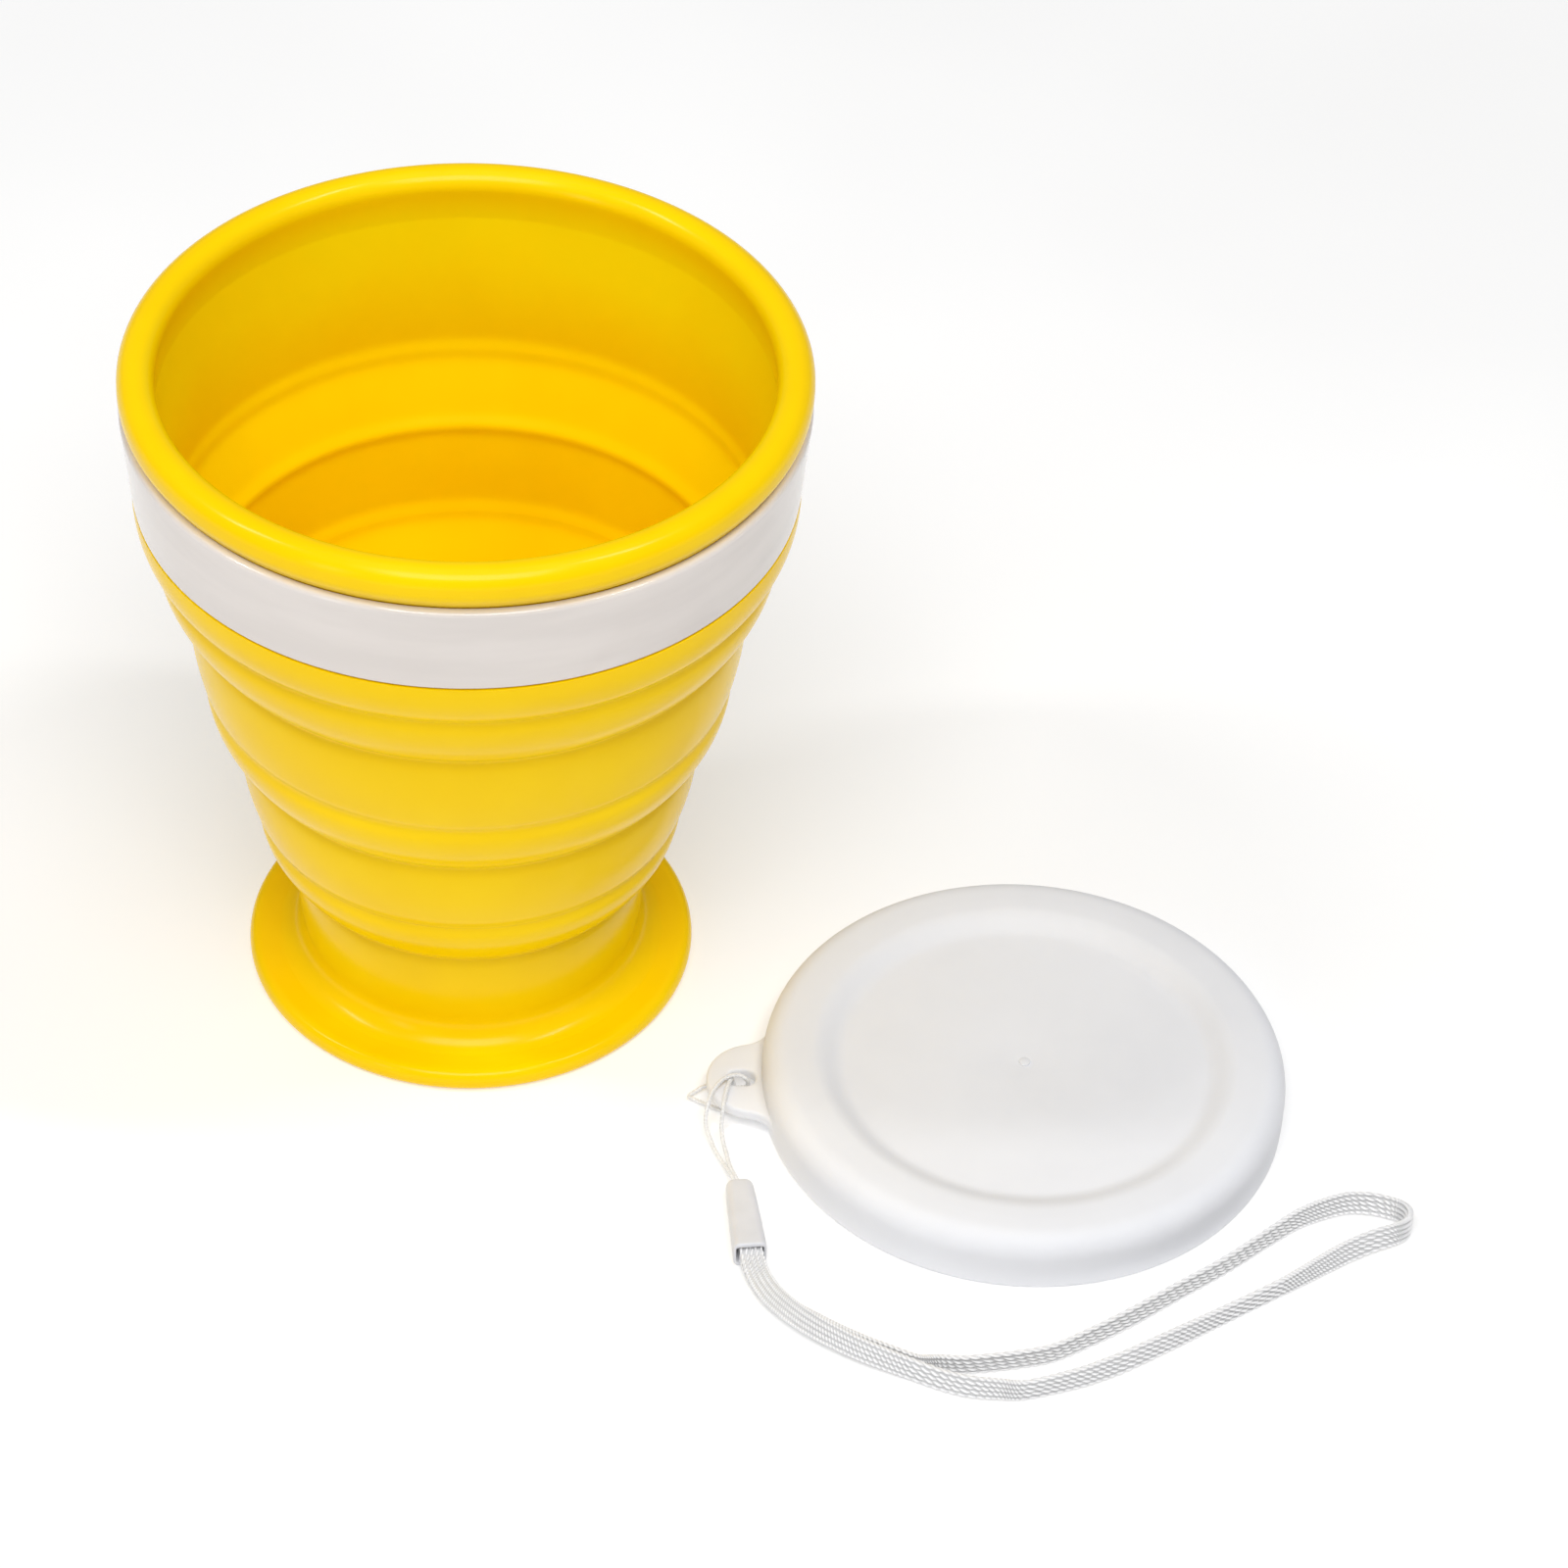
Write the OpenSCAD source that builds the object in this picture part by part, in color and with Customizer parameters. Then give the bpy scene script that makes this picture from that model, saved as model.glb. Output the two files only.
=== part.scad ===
// Collapsible travel cup with its lid and wrist strap, in millimetres.
// +Z is up and the origin is on the cup's axis, at the underside of its foot.
// The cup is one silicone moulding of four stiff tiers joined by three thin webs that turn
// inside out as it folds, so each tier and each web is a node of its own here.

/* [Cup] */
// Outer diameter of the rim
rim_d = 85; // [84:0.5:90]
// Height of the top tier, from its lower edge to the top of the rim
top_tier_h = 25.3; // [24:0.1:28]
// Height of the middle tier
mid_tier_h = 13; // [11:0.1:15]
// Height of the lower tier
low_tier_h = 12.3; // [11:0.1:14]
// Height of the foot with its neck
foot_h = 17.6; // [16:0.1:20]
// Height of each folding web between two tiers
web_h = 9.6; // [8.5:0.1:11]
// Wall of the middle and lower tiers
tier_wall = 1.8; // [1.6:0.1:2]
// Wall of the folding webs
web_wall = 1.2; // [0.8:0.1:1.4]

/* [Foot] */
// Outer diameter of the foot
foot_d = 59; // [57:0.5:60]
// Thickness of the foot's flange
flange_t = 3; // [2.5:0.1:3.5]
// Thickness of the cup's floor
floor_t = 3.6; // [3:0.1:4]

/* [Band] */
// Height of the hard band under the rim
band_h = 12.5; // [10:0.5:13]
// Wall of the band
band_wall = 1.2; // [1:0.1:1.4]

/* [Lid] */
// Outer diameter of the lid
lid_d = 68; // [66:1:90]
// Height of the lid
lid_h = 8; // [7.5:0.1:9]
// Wall of the lid
lid_wall = 1.4; // [1.2:0.1:1.6]
// Diameter of the sunken middle of the lid
lid_recess_d = 48; // [44:1:50]
// Depth of the sunken middle
lid_recess = 1.7; // [1:0.1:2]
// How far the tab stands out from the lid
tab_reach = 7.2; // [6:0.1:8]
// Where the lid lies beside the cup, along X
lid_x = 73.8; // [73:0.1:76]
// Where the lid lies beside the cup, along Y
lid_y = -25.4; // [-26:0.1:-25]

/* [Wrist strap] */
// Width of the braided strap
strap_w = 3.2; // [2.8:0.1:3.4]
// Thickness of the braided strap
strap_t = 1; // [0.8:0.1:1]
// Diameter of the string that holds the strap to the lid
string_d = 0.6; // [0.5:0.1:0.7]
// Length of the clip that joins the string and the strap
clip_l = 12.7; // [12.5:0.1:13.5]

/* [Hidden] */
$fn = 96;

silicone = [0.98, 0.79, 0.06];
white_plastic = [0.92, 0.91, 0.9];
frosted_plastic = [0.95, 0.95, 0.94];
white_cord = [0.93, 0.93, 0.93];

gap = 0.3;           // left between two pieces that move apart
fit = 0.05;          // left between two pieces that are fixed together

// Heights of the edges between the tiers and the webs, from the foot up
low_web_z = foot_h;
low_z = low_web_z + web_h;
mid_web_z = low_z + low_tier_h;
mid_z = mid_web_z + web_h;
top_web_z = mid_z + mid_tier_h;
top_z = top_web_z + web_h;
cup_h = top_z + top_tier_h;

// Outer radii at the same edges
rim_r = rim_d / 2;
top_low_r = rim_r - 3.3;
mid_top_r = top_low_r - 3.9;
mid_low_r = mid_top_r - 1.6;
low_top_r = mid_low_r - 4;
low_low_r = low_top_r - 2;
neck_top_r = low_low_r - 4.7;
neck_r = neck_top_r - 0.6;

// Top tier: a thick rim with a round top, over a seat for the band
rim_t = 4.3;
rim_skirt_h = 5.4;
top_in_r = rim_r - 4.2;
top_low_in_r = top_low_r - 1.7;
band_top_z = cup_h - rim_skirt_h;
band_z = band_top_z - band_h;
band_slope = 1.05;   // how much narrower the band's lower edge is, on the radius
band_low_r = rim_r - band_slope;

// Lid
lid_r = lid_d / 2;
lid_edge = 3.4;      // rounding of the lid's outer edge
lid_slope = 2.8;     // width of the slope down to the sunken middle
gate_r = 0.6;
tab_turn = 184;      // the tab points back towards the cup
tab_z = 2;
tab_t = 1.6;
tab_round_r = 6.3;
tab_hole_l = 3.7;
tab_hole_w = 2.8;
tab_hole_u = 36.7;   // centre of the hole from the centre of a 68 mm lid

// Clip: a tapered sleeve that lies on the table between the string and the strap
clip_top = [37.6, -45.1];
clip_turn = 8.6;
clip_w = [3.5, 4.2];
clip_t = [2.8, 3.9];
clip_round = 0.6;
socket = [3.5, 2.6];
socket_l = 3.6;
socket_z = 0.65;

// Route of the string: from the clip, over the tab, down its hole, out under the tab's end,
// back under the tab and up through the hole to the clip
string_route = [
    [37.4, -46.2, 1.7], [37.1, -44.9, 1.7], [36.5, -43.3, 1.4], [35.5, -41.0, 0.9],
    [34.5, -38.9, 0.7], [33.7, -36.9, 0.8], [33.0, -35.1, 1.4], [32.9, -34.0, 2.6],
    [33.2, -32.9, 3.9], [33.8, -31.0, 4.2], [35.1, -29.1, 4.4], [36.6, -28.4, 4.4],
    [37.7, -28.3, 3.8], [38.1, -27.9, 2.6], [37.9, -27.5, 1.5], [36.8, -27.4, 1.2],
    [34.8, -27.3, 1.0], [32.6, -27.2, 0.9], [31.5, -27.9, 0.7], [30.8, -28.4, 0.5],
    [30.6, -28.9, 0.5], [31.6, -29.5, 0.5], [32.9, -30.2, 0.5], [35.0, -31.2, 0.6],
    [36.2, -31.6, 0.8], [36.9, -30.9, 1.0], [36.9, -29.3, 1.2], [36.4, -27.9, 1.5],
    [36.1, -27.8, 2.7], [35.9, -28.5, 3.7], [35.6, -30.2, 4.3], [35.3, -32.0, 4.1],
    [35.1, -33.8, 3.9], [35.0, -34.6, 2.6], [35.0, -35.5, 1.7], [35.3, -37.2, 1.1],
    [35.8, -39.2, 1.0], [36.4, -41.9, 1.3], [37.6, -44.9, 1.6], [38.1, -46.1, 1.7]];

// Route of the strap, as [x, y, z, roll]: it leaves the clip lying flat, turns on its edge,
// goes round the loop and comes back to lie flat under its own start
strap_route = [
    [39.3, -55.4, 2.6, 0], [39.6, -57.4, 2.6, 0], [40.0, -59.0, 2.3, 2], [40.8, -61.1, 1.9, 8],
    [42.4, -64.2, 2.1, 20], [44.7, -66.8, 2.2, 33], [47.3, -69.0, 2.3, 45], [50.2, -70.9, 2.3, 55],
    [53.5, -72.7, 2.2, 64], [56.9, -74.1, 2.0, 70], [60.3, -75.4, 1.8, 75], [63.7, -76.7, 1.7, 74],
    [67.2, -77.6, 1.7, 72], [70.8, -77.8, 1.7, 76], [74.3, -77.6, 1.6, 84], [80.5, -75.4, 1.7, 80],
    [83.5, -73.9, 1.7, 77], [86.6, -72.1, 1.7, 75], [92.7, -68.0, 1.7, 80], [99.0, -63.6, 1.6, 88],
    [105.3, -59.2, 1.6, 90], [108.4, -57.0, 1.7, 84], [111.7, -54.4, 1.7, 74], [114.9, -52.0, 1.7, 66],
    [118.1, -50.0, 1.7, 63], [121.0, -48.6, 1.7, 66], [122.4, -47.7, 1.7, 76], [123.0, -46.5, 1.6, 90],
    [122.7, -45.1, 1.7, 102], [121.4, -44.2, 1.7, 112], [118.4, -43.4, 1.7, 115], [115.3, -43.5, 1.7, 112],
    [112.1, -44.8, 1.7, 107], [108.9, -46.7, 1.7, 100], [105.7, -49.4, 1.6, 96], [99.3, -55.2, 1.6, 92],
    [93.0, -60.2, 1.6, 94], [86.7, -65.3, 1.7, 96], [80.6, -69.5, 1.6, 94], [77.2, -71.5, 1.6, 92],
    [73.6, -72.6, 1.6, 90], [70.1, -73.4, 1.6, 90], [66.5, -74.0, 1.6, 90], [63.3, -74.1, 1.6, 94],
    [60.7, -74.3, 1.5, 105], [57.3, -73.1, 1.6, 110], [53.9, -71.8, 1.7, 116], [50.7, -70.1, 1.6, 125],
    [47.8, -68.3, 1.5, 135], [45.1, -66.4, 1.3, 147], [42.7, -64.0, 1.0, 160], [40.9, -61.0, 0.8, 172],
    [40.0, -59.0, 1.1, 178], [39.6, -57.4, 1.25, 180], [39.3, -55.4, 1.25, 180]];

function reverse(list) = [for (i = [len(list) - 1 : -1 : 0]) list[i]];
function unit(v) = v / norm(v);

// A wall that starts upright at its top edge and bows in towards its lower edge
function bow(top, low, steps = 8) =
    [for (i = [0 : steps]) let (s = i / steps)
        [top[0] - (top[0] - low[0]) * s * s, top[1] + (low[1] - top[1]) * s]];

// A quarter turn of an outline, about a centre, between two angles
function bend(centre, r, from, to, steps = 8) =
    [for (i = [0 : steps]) let (a = from + (to - from) * i / steps)
        centre + r * [cos(a), sin(a)]];

// The direction of a route at each of its points
function heading(route, i) =
    unit(route[min(i + 1, len(route) - 1)] - route[max(i - 1, 0)]);

// A ring of one wall between two heights
module wall_ring(top, low, wall) {
    outer = bow(top, low);
    inner = bow(top - [wall, 0], low - [wall, 0]);
    rotate_extrude() polygon(concat(outer, reverse(inner)));
}

// A solid swept along rings of points that all have the same number of sides
module sweep(rings) {
    sides = len(rings[0]);
    last = len(rings) - 1;
    walls = [for (i = [0 : last - 1]) for (j = [0 : sides - 1])
        let (k = (j + 1) % sides, a = i * sides, b = a + sides)
            each [[a + j, b + j, b + k], [a + j, b + k, a + k]]];
    start = [for (j = [0 : sides - 1]) j];
    end = [for (j = [sides - 1 : -1 : 0]) last * sides + j];
    polyhedron([for (ring = rings) for (p = ring) p], concat(walls, [start, end]));
}

// Neck, flange and floor of the cup, in one stiff piece
module foot() {
    foot_r = foot_d / 2;
    fillet = 2.2;
    inner_low_r = neck_r - 1.9;
    color(silicone) rotate_extrude() polygon(concat(
        [[0, 0], [foot_r - 0.9, 0]],
        bend([foot_r - 0.9, 0.9], 0.9, -90, 0, 4),
        bend([foot_r - 0.8, flange_t - 0.2], 0.8, 0, 150, 6),
        [[foot_r - 2.6, flange_t]],
        bend([neck_r + fillet, flange_t + fillet], fillet, 270, 180),
        reverse(bow([neck_top_r, foot_h - gap], [neck_r, flange_t + fillet + 3])),
        bow([neck_top_r - tier_wall, foot_h - gap], [inner_low_r, floor_t + 3]),
        bend([inner_low_r - 2.4, floor_t + 2.4], 2.4, 0, -90),
        [[0, floor_t]]));
}

module lower_web() {
    color(silicone)
    wall_ring([low_low_r, low_z], [neck_top_r, low_web_z], web_wall);
}

module lower_tier() {
    color(silicone)
    wall_ring([low_top_r, mid_web_z - gap], [low_low_r, low_z], tier_wall);
}

module middle_web() {
    color(silicone)
    wall_ring([mid_low_r, mid_z], [low_top_r, mid_web_z], web_wall);
}

module middle_tier() {
    color(silicone)
    wall_ring([mid_top_r, top_web_z - gap], [mid_low_r, mid_z], tier_wall);
}

module upper_web() {
    color(silicone)
    wall_ring([top_low_r, top_z], [mid_top_r, top_web_z], web_wall);
}

// The rim, the seat for the band and the bowed wall under it
module top_tier() {
    seat_top_r = rim_r - band_wall - fit;
    seat_low_r = band_low_r - band_wall - fit;
    round_r = rim_t / 2;
    color(silicone) rotate_extrude() polygon(concat(
        bow([band_low_r - 0.2, band_z - fit], [top_low_r, top_z]),
        reverse(bow([top_in_r, cup_h - 12], [top_low_in_r, top_z])),
        bend([rim_r - round_r, cup_h - round_r], round_r, 180, 0, 12),
        [[rim_r, band_top_z + fit], [seat_top_r, band_top_z + fit],
         [seat_low_r, band_z - fit]]));
}

module rim_band() {
    soft = 0.4;
    outer = [[rim_r - soft, band_top_z], [rim_r, band_top_z - soft],
             [band_low_r + 0.03, band_z + soft], [band_low_r - soft, band_z]];
    inner = [[band_low_r - band_wall, band_z], [rim_r - band_wall, band_top_z]];
    color(white_plastic) rotate_extrude() polygon(concat(outer, inner));
}

// Section of the lid's shell: a skirt, a round edge, a raised ring and a sunken middle
module lid_section() {
    recess_r = lid_recess_d / 2;
    low = lid_h - lid_recess;
    inner_edge = lid_edge - lid_wall;
    polygon(concat(
        [[lid_r - lid_wall, 0], [lid_r - 0.3, 0], [lid_r, 0.3]],
        bend([lid_r - lid_edge, lid_h - lid_edge], lid_edge, 0, 90),
        bend([recess_r + lid_slope, lid_h - lid_slope / 2], lid_slope / 2, 90, 140, 4),
        bend([recess_r, low + lid_slope / 2], lid_slope / 2, 320, 270, 4),
        [[0, low], [0, low - lid_wall], [recess_r + 0.4, low - lid_wall],
         [recess_r + lid_slope, lid_h - lid_wall]],
        bend([lid_r - lid_edge, lid_h - lid_edge], inner_edge, 90, 0)));
}

// The tab in plan, pointing along +X, before its hole
module tab_outline() {
    flank = 3;
    root_u = lid_r - 1;
    offset(r = -flank) offset(delta = flank) union() {
        translate([lid_r + tab_reach - tab_round_r, 0]) circle(tab_round_r);
        polygon([[root_u, 7], [root_u, -7], [lid_r + 2, -5], [lid_r + 2, 5]]);
        difference() {
            circle(lid_r);
            circle(lid_r - flank);
            translate([-2 * lid_r, -lid_r]) square(2 * lid_r);
        }
    }
}

module lid() {
    hole_u = tab_hole_u + lid_r - 34;
    color(frosted_plastic) translate([lid_x, lid_y, 0]) {
        rotate_extrude() lid_section();
        translate([0, 0, lid_h - lid_recess - 0.1]) cylinder(r = gate_r, h = 0.35);
        rotate(tab_turn) translate([0, 0, tab_z]) difference() {
            linear_extrude(tab_t) difference() {
                tab_outline();
                circle(lid_r - 0.7);
            }
            translate([hole_u, 0, -1]) linear_extrude(tab_t + 2) hull()
                for (u = [-1, 1])
                    translate([u * (tab_hole_l - tab_hole_w) / 2, 0]) circle(d = tab_hole_w);
        }
    }
}

module string_loop() {
    sides = 8;
    function ring(i) = let (
        t = heading(string_route, i),
        a = unit(cross(t, abs(t[2]) < 0.8 ? [0, 0, 1] : [1, 0, 0])),
        b = cross(a, t))
        [for (j = [0 : sides - 1]) let (turn = 360 * j / sides)
            string_route[i] + string_d / 2 * (cos(turn) * a + sin(turn) * b)];
    color(white_cord) sweep([for (i = [0 : len(string_route) - 1]) ring(i)]);
}

// One end of the clip: a rounded rectangle that stands on the table
module clip_end(w, t) {
    rotate([90, 0, 0]) linear_extrude(0.4, center = true)
        translate([-w / 2 + clip_round, clip_round])
            offset(clip_round, $fn = 24) square([w - 2 * clip_round, t - 2 * clip_round]);
}

module strap_clip() {
    color(white_plastic) translate([clip_top[0], clip_top[1], 0]) rotate(clip_turn)
    difference() {
        hull() {
            translate([0, -0.2, 0]) clip_end(clip_w[0] - 0.8, clip_t[0] - 0.8);
            translate([0, -0.9, 0]) clip_end(clip_w[0], clip_t[0]);
            translate([0, 0.2 - clip_l, 0]) clip_end(clip_w[1], clip_t[1]);
        }
        translate([-socket[0] / 2, -clip_l - 1, socket_z])
            cube([socket[0], socket_l + 1, socket[1]]);
        translate([0, -1.2, 1.7]) rotate([-90, 0, 0]) cylinder(d = 2, h = 3, $fn = 32);
    }
}

module wrist_strap() {
    points = [for (p = strap_route) [p[0], p[1], p[2]]];
    w = strap_w / 2;
    t = strap_t / 2;
    section = [[w, -t / 2], [w, t / 2], [w - t / 2, t], [-w + t / 2, t],
               [-w, t / 2], [-w, -t / 2], [-w + t / 2, -t], [w - t / 2, -t]];
    function ring(i) = let (
        along = heading(points, i),
        side = unit(cross([0, 0, 1], along)),
        up = cross(along, side),
        roll = strap_route[i][3],
        across = side * cos(roll) + up * sin(roll),
        through = up * cos(roll) - side * sin(roll))
        [for (p = section) points[i] + p[0] * across + p[1] * through];
    color(white_cord) sweep([for (i = [0 : len(points) - 1]) ring(i)]);
}

foot();
lower_web();
lower_tier();
middle_web();
middle_tier();
upper_web();
top_tier();
rim_band();
lid();
string_loop();
strap_clip();
wrist_strap();
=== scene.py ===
"""Looks of a collapsible travel cup, its lid and its wrist strap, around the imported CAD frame.

Lengths are written in millimetres, as in the part's source, and turned into metres when a mesh is made.
"""

import math

import bmesh
import bpy
import numpy as np
from mathutils import Matrix, Vector


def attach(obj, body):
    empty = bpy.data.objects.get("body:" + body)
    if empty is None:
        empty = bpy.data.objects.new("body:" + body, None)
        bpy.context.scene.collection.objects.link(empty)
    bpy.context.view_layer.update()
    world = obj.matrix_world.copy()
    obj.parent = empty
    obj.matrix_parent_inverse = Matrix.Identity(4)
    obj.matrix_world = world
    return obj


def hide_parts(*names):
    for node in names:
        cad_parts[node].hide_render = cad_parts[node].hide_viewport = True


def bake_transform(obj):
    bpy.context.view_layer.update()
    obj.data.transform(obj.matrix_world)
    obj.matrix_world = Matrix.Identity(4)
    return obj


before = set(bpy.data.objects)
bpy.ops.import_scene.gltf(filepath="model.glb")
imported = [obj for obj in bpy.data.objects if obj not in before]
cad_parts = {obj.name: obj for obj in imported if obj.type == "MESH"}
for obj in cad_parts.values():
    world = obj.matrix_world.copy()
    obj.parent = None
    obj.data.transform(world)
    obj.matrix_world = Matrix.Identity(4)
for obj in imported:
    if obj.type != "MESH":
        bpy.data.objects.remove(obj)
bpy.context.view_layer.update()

MM = 0.001


def lin(r, g, b):
    """An 8-bit sRGB colour as the linear RGBA that a shader socket takes."""
    def one(c):
        c /= 255
        return c / 12.92 if c <= 0.04045 else ((c + 0.055) / 1.055) ** 2.4
    return (one(r), one(g), one(b), 1)


# ---------------------------------------------------------------- camera

CAMERA_AT = Vector((40.94, -492.7, 468.6)) * MM
CAMERA_PITCH = 41.68
CAMERA_ROLL = 2.71
LENS = 116.2

camera_data = bpy.data.cameras.new("camera")
camera_data.lens = LENS
camera_data.sensor_width = 36
camera_data.clip_start = 0.01
camera_data.clip_end = 20
camera = bpy.data.objects.new("camera", camera_data)
camera.matrix_world = (
    Matrix.Translation(CAMERA_AT)
    @ Matrix.Rotation(math.radians(90 - CAMERA_PITCH), 4, "X")
    @ Matrix.Rotation(math.radians(CAMERA_ROLL), 4, "Z")
)
bpy.context.scene.collection.objects.link(camera)
bpy.context.scene.camera = camera


# ---------------------------------------------------------------- mesh helpers

def make_object(name, verts, faces, sharp=40):
    """A smooth-shaded mesh object from points in mm, with edges over the sharp angle kept crisp."""
    mesh = bpy.data.meshes.new(name)
    mesh.from_pydata([tuple(c * MM for c in v) for v in verts], [], faces)
    mesh.validate()
    mesh.shade_smooth()
    mesh.set_sharp_from_angle(angle=math.radians(sharp))
    made = bpy.data.objects.new(name, mesh)
    bpy.context.scene.collection.objects.link(made)
    return made


def lathe(name, outline, centre=(0, 0), steps=192, sharp=40):
    """A closed solid of revolution from a closed outline of (radius, z), wound counterclockwise."""
    verts, rings = [], []
    for r, z in outline:
        if r < 1e-6:
            rings.append([len(verts)] * steps)
            verts.append((centre[0], centre[1], z))
            continue
        rings.append(list(range(len(verts), len(verts) + steps)))
        for k in range(steps):
            a = 2 * math.pi * k / steps
            verts.append((centre[0] + r * math.cos(a), centre[1] + r * math.sin(a), z))
    faces = []
    for i, low in enumerate(rings):
        high = rings[(i + 1) % len(rings)]
        if low[0] == low[1] and high[0] == high[1]:
            continue
        for k in range(steps):
            n = (k + 1) % steps
            face = [low[k], low[n], high[n], high[k]]
            faces.append([v for j, v in enumerate(face) if v != face[j - 1]])
    return make_object(name, verts, faces, sharp)


def arc(centre, radius, start, end, steps=12):
    """Points along an arc, between two angles in degrees."""
    out = []
    for i in range(steps + 1):
        a = math.radians(start + (end - start) * i / steps)
        out.append((centre[0] + radius * math.cos(a), centre[1] + radius * math.sin(a)))
    return out


def bow(top, low, power=2.0, swell=0.0, steps=28):
    """A wall from its top edge to its lower edge, bowed by a power and swollen in its middle."""
    line = []
    for i in range(steps + 1):
        f = i / steps
        r = top[0] - (top[0] - low[0]) * f ** power + swell * math.sin(math.pi * f)
        line.append((r, top[1] + (low[1] - top[1]) * f))
    return line


def even(points, step):
    """The same open line with its points evenly spaced, its ends kept."""
    p = np.array(points, float)
    along = np.concatenate([[0], np.cumsum(np.linalg.norm(np.diff(p, axis=0), axis=1))])
    at = np.linspace(0, along[-1], max(2, int(round(along[-1] / step)) + 1))
    return np.stack([np.interp(at, along, p[:, k]) for k in range(p.shape[1])], axis=1)


def soften(points, width, step=0.25):
    """An open line with its corners rounded over about that width, its ends kept."""
    p = even(points, step)
    reach = int(3 * width / step) + 1
    kernel = np.exp(-0.5 * (np.arange(-reach, reach + 1) * step / width) ** 2)
    kernel /= kernel.sum()
    padded = np.concatenate([2 * p[0] - p[reach:0:-1], p, 2 * p[-1] - p[-2 : -reach - 2 : -1]])
    return np.stack([np.convolve(padded[:, k], kernel, "valid") for k in range(p.shape[1])], axis=1)


def smooth_route(points, step):
    """A smooth curve through route points (Catmull-Rom), with its points evenly spaced."""
    p = np.array(points, float)
    p = np.concatenate([[2 * p[0] - p[1]], p, [2 * p[-1] - p[-2]]])
    out = []
    for i in range(1, len(p) - 2):
        for t in np.linspace(0, 1, 16, endpoint=False):
            out.append(0.5 * (
                2 * p[i] + (p[i + 1] - p[i - 1]) * t
                + (2 * p[i - 1] - 5 * p[i] + 4 * p[i + 1] - p[i + 2]) * t ** 2
                + (3 * p[i] - p[i - 1] - 3 * p[i + 1] + p[i + 2]) * t ** 3))
    out.append(p[-2])
    return even(out, step)


def frames_along(path):
    """Headings along a path, and a side vector at each point carried along with no twist."""
    heading = np.gradient(path, axis=0)
    heading /= np.linalg.norm(heading, axis=1)[:, None]
    side = np.cross(heading[0], (0, 0, 1))
    sides = []
    for h in heading:
        side = side - h * side.dot(h)
        side /= np.linalg.norm(side)
        sides.append(side.copy())
    return heading, np.array(sides)


def grid_faces(rings, around, offset=0, caps=True):
    """Faces of a tube whose points lie ring by ring."""
    faces = []
    for i in range(rings - 1):
        a = offset + i * around
        for k in range(around):
            n = (k + 1) % around
            faces.append((a + k, a + n, a + around + n, a + around + k))
    if caps:
        faces.append(tuple(offset + k for k in range(around))[::-1])
        faces.append(tuple(offset + (rings - 1) * around + k for k in range(around)))
    return faces


# ---------------------------------------------------------------- sizes, as in the part's source

CUP_H = 97
TOP_LOW = (39.2, 71.7)
MID_TOP = (35.3, 62.1)
MID_LOW = (33.7, 49.1)
LOW_TOP = (29.7, 39.5)
LOW_LOW = (27.7, 27.2)
NECK_TOP = (23.0, 17.6)
NECK_R = 22.4
FOOT_R = 29.5
BAND_Z = (79.1, 91.6)
BAND_R = (41.45, 42.45)
FLOOR_Z = 3.6

LID_AT = (73.8, -25.4)
LID_R = 34
LID_H = 8
TAB_TURN = 184
TAB_Z = (2, 3.6)


# ---------------------------------------------------------------- cords: the string and the strap

# The routes repeat those of the part's source: (x, y, z), and for the strap its roll in degrees
STRING_D = 0.6
STRING_ROUTE = [
    (37.4, -46.2, 1.7), (37.1, -44.9, 1.7), (36.5, -43.3, 1.4), (35.5, -41.0, 0.9),
    (34.5, -38.9, 0.7), (33.7, -36.9, 0.8), (33.0, -35.1, 1.4), (32.9, -34.0, 2.6),
    (33.2, -32.9, 3.9), (33.8, -31.0, 4.2), (35.1, -29.1, 4.4), (36.6, -28.4, 4.4),
    (37.7, -28.3, 3.8), (38.1, -27.9, 2.6), (37.9, -27.5, 1.5), (36.8, -27.4, 1.2),
    (34.8, -27.3, 1.0), (32.6, -27.2, 0.9), (31.5, -27.9, 0.7), (30.8, -28.4, 0.5),
    (30.6, -28.9, 0.5), (31.6, -29.5, 0.5), (32.9, -30.2, 0.5), (35.0, -31.2, 0.6),
    (36.2, -31.6, 0.8), (36.9, -30.9, 1.0), (36.9, -29.3, 1.2), (36.4, -27.9, 1.5),
    (36.1, -27.8, 2.7), (35.9, -28.5, 3.7), (35.6, -30.2, 4.3), (35.3, -32.0, 4.1),
    (35.1, -33.8, 3.9), (35.0, -34.6, 2.6), (35.0, -35.5, 1.7), (35.3, -37.2, 1.1),
    (35.8, -39.2, 1.0), (36.4, -41.9, 1.3), (37.6, -44.9, 1.6), (38.1, -46.1, 1.7)]

STRAND_SHARE = 0.31   # a strand's radius, as a share of the string's diameter
STRING_STEP = 0.22    # from ring to ring, as a share of the string's diameter

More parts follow.
